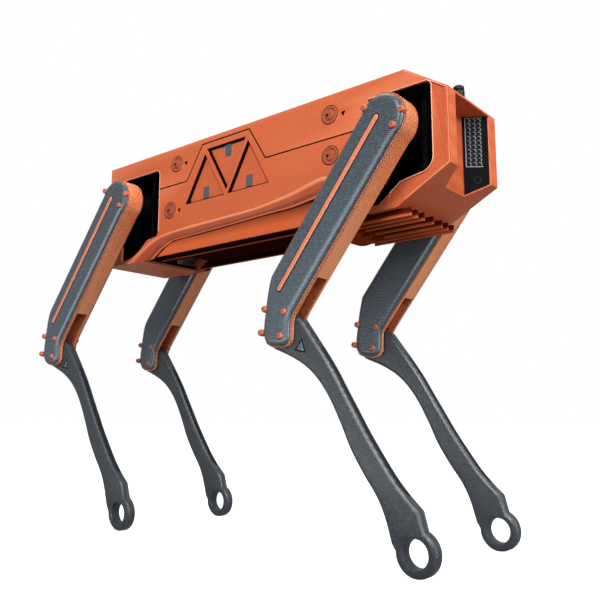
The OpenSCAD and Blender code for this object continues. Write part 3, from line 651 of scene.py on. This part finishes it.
TRI = [[(-66.5, 389.2), (0.5, 389.2), (-33, 447)], [(-29.5, 452.3), (35, 452.3), (3.8, 394.5)], [(6, 389.2), (71, 389.2), (38.5, 447.5)]]
BOLT = [(156.4, 445), (156.6, 400.3), (-84.5, 445.8), (-95.2, 387.3)]
def inset_tri(tri, g):
    n = 3; out = []
    c = Vector((sum(p[0] for p in tri)/3, sum(p[1] for p in tri)/3))
    for i in range(n):
        p0, p, p1 = Vector(tri[i-1]), Vector(tri[i]), Vector(tri[(i+1) % n])
        a, b = (p-p0).normalized(), (p1-p).normalized()
        na, nb = Vector((-a.y, a.x)), Vector((-b.y, b.x))
        if na.dot(c-p) < 0: na = -na
        if nb.dot(c-p) < 0: nb = -nb
        k = (na+nb); k = k/ max(1e-6, k.dot(na))
        out.append(tuple(p + k*g))
    return out

bolts_objs = {}
def body_details(tag, s):
    lip_strip(tag, s)
    # split line, window liners, marks and bolt rings share a dark colour: the split line, bolt rings, bolt holes and
    # window liners are painted shadow, dark strips set where shade falls in grooves, gaps and recesses; the small
    # triangle marks take the same colour
    m = Mesh()
    ribbon(m, [(-220.1, 419.1), (-205, 419.1), (-191.4, 419.1)], 1.6, 49.3, 50.06, s)
    seam = [(-117.2, 419.1), (-65.1, 419.1), (-37.7, 459.9), (40.2, 459.9), (65.8, 419.1), (204.6, 419.1)]
    ribbon(m, seam, 1.6, 49.3, 50.06, s)
    for i, (bx_, bz_) in enumerate(BOLT):
        c = (bx_+17.5, bz_-3)
        tri = [(c[0]-3.1, c[1]+2.4), (c[0]+3.1, c[1]+2.4), (c[0], c[1]-3.2)]
        a = m.loop(side([(x, 50.06, z) for x, z in tri], s)); b = m.loop(side([(x, 49.3, z) for x, z in tri], s))
        m.band(a, b); m.fan(a); m.fan(b)
        ribbon(m, circle2(bx_, bz_, 10.1, 40), 1.1, 48.9, 50.04, s, closed=True)
        hole = circle2(bx_-2.6, bz_, 1.7, 20)
        a = m.loop(side([(x, 50.93, z) for x, z in hole], s)); b = m.loop(side([(x, 49.4, z) for x, z in hole], s))
        m.band(a, b); m.fan(a); m.fan(b)
    finish_obj("dark_lines_"+tag, m.v, m.f, "torso", DEEP, angle=20)
    # turned bolt discs: a rolled outer ring, a dished field and a raised centre
    m = Mesh()
    for i, (bx_, bz_) in enumerate(BOLT):
        prof = [(9.9, 48.8), (9.9, 49.7), (9.6, 50.3), (9.0, 50.65), (8.3, 50.6), (7.8, 50.2), (7.4, 49.5), (6.9, 49.25), (5.9, 49.25), (5.5, 49.5), (5.2, 50.2), (4.8, 50.7), (4.1, 50.9), (0.6, 50.9)]
        ls = [m.loop(side([(x, y, z) for x, z in circle2(bx_, bz_, r_, 40)], s)) for r_, y in prof]
        for a, b in zip(ls, ls[1:]):
            m.band(a, b)
        m.fan(ls[0]); m.fan(ls[-1])
    bolts_objs[tag] = finish_obj("bolt_discs_"+tag, m.v, m.f, "torso", BOLTC, ["side_bolts"] if tag == "r" else None, angle=50)
    # painted shadow: dark bands round the window recesses, where shade falls on their walls
    m = Mesh()
    for t in TRI:
        prof = [(-0.02, 49.75), (0.34, 49.75), (0.36, 47.1), (2.3, 46.95), (2.35, 46.3), (-0.02, 46.3)]
        ls = [m.loop(side([(x, y, z) for x, z in inset_tri(t, g)], s)) for g, y in prof]
        for a, b in zip(ls, ls[1:]+ls[:1]):
            m.band(a, b)
    finish_obj("window_painted_shadow_"+tag, m.v, m.f, "torso", DEEP, angle=20)
    # rounded bead round the nose edge, coloured as a painted highlight
    m = Mesh()
    path = [(248.1, 466.6), (294.5, 436.0), (294.5, 362.0), (245.25, 335.2)]
    pp = resample(path+[path[-1]], 6.0)[:-1]
    cen = Vector((262, 400))
    rows = []
    fine_path = []
    for i in range(len(path)-1):
        p, q = Vector(path[i]), Vector(path[i+1]); k = 14
        for j in range(k + (1 if i == len(path)-2 else 0)):
            fine_path.append(p.lerp(q, j/k))
    def offset_in(i, dd):
        p = fine_path[i]
        p0, p1 = fine_path[max(0, i-1)], fine_path[min(len(fine_path)-1, i+1)]
        a = (p-p0).normalized() if i else (p1-p).normalized()
        b = (p1-p).normalized() if i < len(fine_path)-1 else a
        t = (a+b).normalized(); nn = Vector((-t.y, t.x))
        if nn.dot(cen-p) < 0: nn = -nn
        return p + nn*dd/max(0.4, t.dot(a))
    for k in range(13):
        a = math.pi/2*(k-2)/8
        dy, dn = 1.3*math.cos(a), 1.3*math.sin(a)
        rows.append(m.loop(side([(offset_in(i, 1.36-dn*1.0).x, 48.73+dy*1.0, offset_in(i, 1.36-dn*1.0).y) for i in range(len(fine_path))], s)))
    for r0, r1 in zip(rows, rows[1:]):
        m.band(r0, r1, closed=False)
    finish_obj("nose_rim_"+tag, m.v, m.f, "torso", ORANGE_RIM_HIGHLIGHT, angle=70)

# rounded beads round the leg openings, coloured as a painted highlight
def opening_bead(tag, s):
    m = Mesh()
    arc1 = [(270+6*math.sin(math.radians(a)), 442+6*math.cos(math.radians(a))) for a in range(0, 91, 15)]
    arc2 = [(262+14*math.cos(math.radians(a)), 373-14*math.sin(math.radians(a))) for a in range(0, 76, 15)]
    front = [(205.5, 448)] + arc1 + arc2 + [(259, 358.6), (240, 355), (228, 346)]
    arc3 = [(-124+6.5*math.sin(math.radians(a)), 438.5+6.5*math.cos(math.radians(a))) for a in range(0, 91, 15)]
    rear = [(-190.5, 445)] + arc3 + [(-117.5, 400), (-117.5, 364)]
    for pts in (front, rear):
        pts = [p for i, p in enumerate(pts) if i == 0 or (Vector(p)-Vector(pts[i-1])).length > 0.01]
        n = len(pts)
        cen = Vector((240, 400)) if pts is front or pts[0][0] > 0 else Vector((-155, 400))
        rows = []
        for k in range(8):
            a = 2*math.pi*k/8
            ring = []
            for i in range(n):
                p = Vector(pts[i]); p0 = Vector(pts[max(0, i-1)]); p1 = Vector(pts[min(n-1, i+1)])
                t = (p1-p0).normalized(); nn = Vector((-t.y, t.x))
                if nn.dot(p-cen) < 0: nn = -nn
                q = p + nn*(0.5+0.55*math.cos(a))
                ring.append((q.x, 49.75+0.55*math.sin(a), q.y))
            rows.append(m.loop(side(ring, s)))
        for r0, r1 in zip(rows, rows[1:]+rows[:1]):
            m.band(r0, r1, closed=False)
        m.f.append(tuple(r_[0] for r_ in rows)); m.f.append(tuple(r_[-1] for r_ in rows))
    finish_obj("opening_edge_"+tag, m.v, m.f, "torso", ORANGE_RIM_HIGHLIGHT, angle=80)

def box_mesh(m, lo, hi):
    x0, y0, z0 = lo; x1, y1, z1 = hi
    a = m.loop([(x0, y0, z0), (x1, y0, z0), (x1, y1, z0), (x0, y1, z0)])
    b = m.loop([(x0, y0, z1), (x1, y0, z1), (x1, y1, z1), (x0, y1, z1)])
    m.band(a, b); m.fan(a); m.fan(b)

def painted_shade_sheets():
    """Thin black sheets behind the leg openings, inside the shells: painted shade for the dark seen through the
    openings.
    """
    m = Mesh()
    box_mesh(m, (-216, -46.8, 462.7), (243, 46.8, 463.8))          # under the deck
    box_mesh(m, (268.65, -46.6, 433.2), (268.95, 46.6, 448))       # above the front bulkhead
    box_mesh(m, (269.0, -46.8, 358), (269.5, -24.9, 447)); box_mesh(m, (269.0, 24.9, 358), (269.5, 46.8, 447))
    box_mesh(m, (206, -0.5, 338), (243, 0.5, 462)); box_mesh(m, (243, -0.5, 364), (268, 0.5, 442)); box_mesh(m, (-217, -0.5, 337), (-116, 0.5, 462))
    box_mesh(m, (-217, -46.6, 336.3), (-151, 46.6, 337.0))        # tail floor
    box_mesh(m, (-216.9, -46.6, 337), (-216.4, 46.6, 462))        # tail wall
    for s_ in (-1, 1):
        y0, y1 = sorted((46.2*s_, 46.8*s_))
        box_mesh(m, (-217, y0, 337), (-192.2, y1, 462))
        box_mesh(m, (-190, y0, 446.5), (-60, y1, 462)); box_mesh(m, (-116, y0, 378), (-60, y1, 462))
    box_mesh(m, (205, -46.7, 446.5), (262, 46.7, 447.2))
    box_mesh(m, (-190, -46.7, 446.0), (-119, 46.7, 446.8))
    box_mesh(m, (-191, -46.7, 356.02), (-118, 46.7, 356.28))
    box_mesh(m, (206, -46.7, 356.02), (262, 46.7, 356.28))
    o = finish_obj("inner_painted_shade", m.v, m.f, "torso", NIGHT, angle=20)
    bv = o.modifiers.new("bevel", "BEVEL"); bv.width = 0.0001; bv.segments = 1

def sensor_details(tag, s):
    """Pale raised crescents on one side of each grille hole, a painted highlight on the lit part of their rims, and a
    thin frame in the same pale colour, on the slanting wall of the nose recess.
    """
    ap = math.atan2(17.1, 22.5)
    ca, sa = math.cos(ap), math.sin(ap)
    def P(u_, v_, z):
        return (294.5 + ca*u_ - sa*v_, s*(36.6 + sa*u_ + ca*v_), z)
    m = Mesh()
    for i in range(3):
        for j in range(11):
            cx, cz = -21.7+i*5.3, 383.2+j*4.6
            ls = []
            for rr, v in ((1.95, -1.5), (1.85, -1.85), (1.6, -1.95), (1.35, -1.7), (1.3, -1.2)):
                ls.append(m.loop([P(cx+rr*math.cos(math.radians(a_)), v, cz+rr*math.sin(math.radians(a_))) for a_ in range(-60, 121, 15)]))
            for a, b in zip(ls, ls[1:]):
                m.band(a, b, closed=False)
    for (x0, x1, z0, z1) in ((-25.3, -24.8, 380.2, 432.4), (-25.3, -8.0, 431.9, 432.4), (-25.3, -8.0, 380.2, 380.6)):
        a = m.loop([P(x0, -1.85, z0), P(x1, -1.85, z0), P(x1, -1.85, z1), P(x0, -1.85, z1)])
        b = m.loop([P(x0, -0.9, z0), P(x1, -0.9, z0), P(x1, -0.9, z1), P(x0, -0.9, z1)])
        m.band(a, b); m.fan(a); m.fan(b)
    finish_obj("grille_lips_"+tag, m.v, m.f, "torso", PALE_RIM_HIGHLIGHT, angle=40)

for tag, s_ in SIDES.items():
    body_details(tag, s_)
    sensor_details(tag, s_)
    opening_bead(tag, s_)
painted_shade_sheets()

# ------------------------------------------------------------------ CAD nodes that stay
def dress(o, width, seg=2, ang=28):
    w = o.modifiers.new("weld", "WELD"); w.merge_threshold = 2e-6
    dcm = o.modifiers.new("planar", "DECIMATE"); dcm.decimate_type = "DISSOLVE"; dcm.angle_limit = math.radians(0.6)
    b = o.modifiers.new("bevel", "BEVEL"); b.width = width*MM; b.segments = seg; b.limit_method = "ANGLE"
    b.angle_limit = math.radians(ang); b.use_clamp_overlap = True; b.harden_normals = True
    for p in o.data.polygons:
        pass
for name, o in N.items():
    setmat(o, MATS[slots[name]])
    if name.startswith("thigh_frame"):
        setmat(o, ORANGE_TH)
for name in ("lower_shell", "upper_shell"):
    dress(N[name], 0.7, 3)
setmat(N["belly_tray"], BELLY)
dress(N["belly_tray"], 0.5, 2)
setmat(N["panel_inlays"], INLAY)
# painted shade: the inner frame, bulkheads, actuators, battery and hip carriers take the near-black inside colour
for nm in ("chassis_frame", "hip_bulkheads", "roll_actuators", "battery_pack"):
    setmat(N[nm], NIGHT)
for leg in LEGS:
    setmat(N["hip_carrier_"+leg], NIGHT)
for leg in LEGS:
    dress(N["thigh_frame_"+leg], 0.6, 2)

# ------------------------------------------------------------------ stage and light
bpy.context.scene.view_settings.view_transform = "Standard"
def floor():
    me = bpy.data.meshes.new("floor")
    s = 12.0
    me.from_pydata([(-s, -s, 0), (s, -s, 0), (s, s, 0), (-s, s, 0)], [], [(0, 1, 2, 3)])
    o = bpy.data.objects.new("floor", me)
    bpy.context.scene.collection.objects.link(o)
    mt = bpy.data.materials.new("floor_pale"); mt.use_nodes = True
    b = mt.node_tree.nodes["Principled BSDF"]
    b.inputs["Base Color"].default_value = (0.62, 0.62, 0.62, 1)
    b.inputs["Roughness"].default_value = 0.95
    b.inputs["Specular IOR Level"].default_value = 0.0
    b.inputs["Emission Color"].default_value = (1, 1, 1, 1)
    b.inputs["Emission Strength"].default_value = 0.9
    me.materials.append(mt)
    o.visible_diffuse = False
    o.visible_glossy = False
floor()
w = bpy.data.worlds.new("world"); bpy.context.scene.world = w; w.use_nodes = True
t = w.node_tree; t.nodes.clear()
wo = t.nodes.new("ShaderNodeOutputWorld"); mixw = t.nodes.new("ShaderNodeMixShader")
lp = t.nodes.new("ShaderNodeLightPath")
bg1 = t.nodes.new("ShaderNodeBackground"); bg2 = t.nodes.new("ShaderNodeBackground")
tc = t.nodes.new("ShaderNodeTexCoord"); sp = t.nodes.new("ShaderNodeSeparateXYZ")
rg = t.nodes.new("ShaderNodeMapRange"); rg.interpolation_type = "SMOOTHSTEP"
rg.inputs["From Min"].default_value = -0.35; rg.inputs["From Max"].default_value = 0.45
rg.inputs["To Min"].default_value = 0.34; rg.inputs["To Max"].default_value = 0.50
t.links.new(tc.outputs["Generated"], sp.inputs[0]); t.links.new(sp.outputs[2], rg.inputs["Value"])
t.links.new(rg.outputs["Result"], bg1.inputs["Strength"])
bg1.inputs[0].default_value = (0.96, 0.98, 1.0, 1)
bg2.inputs[0].default_value = (1, 1, 1, 1); bg2.inputs[1].default_value = 1.0
t.links.new(lp.outputs["Is Camera Ray"], mixw.inputs[0])
t.links.new(bg1.outputs[0], mixw.inputs[1]); t.links.new(bg2.outputs[0], mixw.inputs[2])
t.links.new(mixw.outputs[0], wo.inputs[0])
def area(name, loc, target, size, power, color=(1, 1, 1)):
    l = bpy.data.lights.new(name, "AREA"); l.energy = power; l.size = size; l.color = color
    o = bpy.data.objects.new(name, l); bpy.context.scene.collection.objects.link(o)
    o.location = loc
    o.rotation_euler = (Vector(target)-Vector(loc)).to_track_quat("-Z", "Y").to_euler()
    return o
area("key", (0.9, -1.7, 1.5), (0, 0, 0.35), 0.7, 36)
area("front", (2.0, -0.3, 1.0), (0.1, 0, 0.35), 0.6, 24)
area("top", (-0.2, 0.2, 1.9), (0, 0, 0.3), 0.8, 6)
gl = area("gloss_front", (1.5, -0.22, 0.16), (0.1, -0.1, 0.3), 0.5, 8, (0.93, 0.97, 1.0))
gl.visible_diffuse = False
g2 = area("gloss_low", (0.0, -1.0, 0.012), (0.0, -1.0, 1.0), 1.3, 27.0, (0.90, 0.97, 1.0))
g2.data.shape = "RECTANGLE"; g2.data.size_y = 1.1
g2.visible_diffuse = False; g2.visible_camera = False
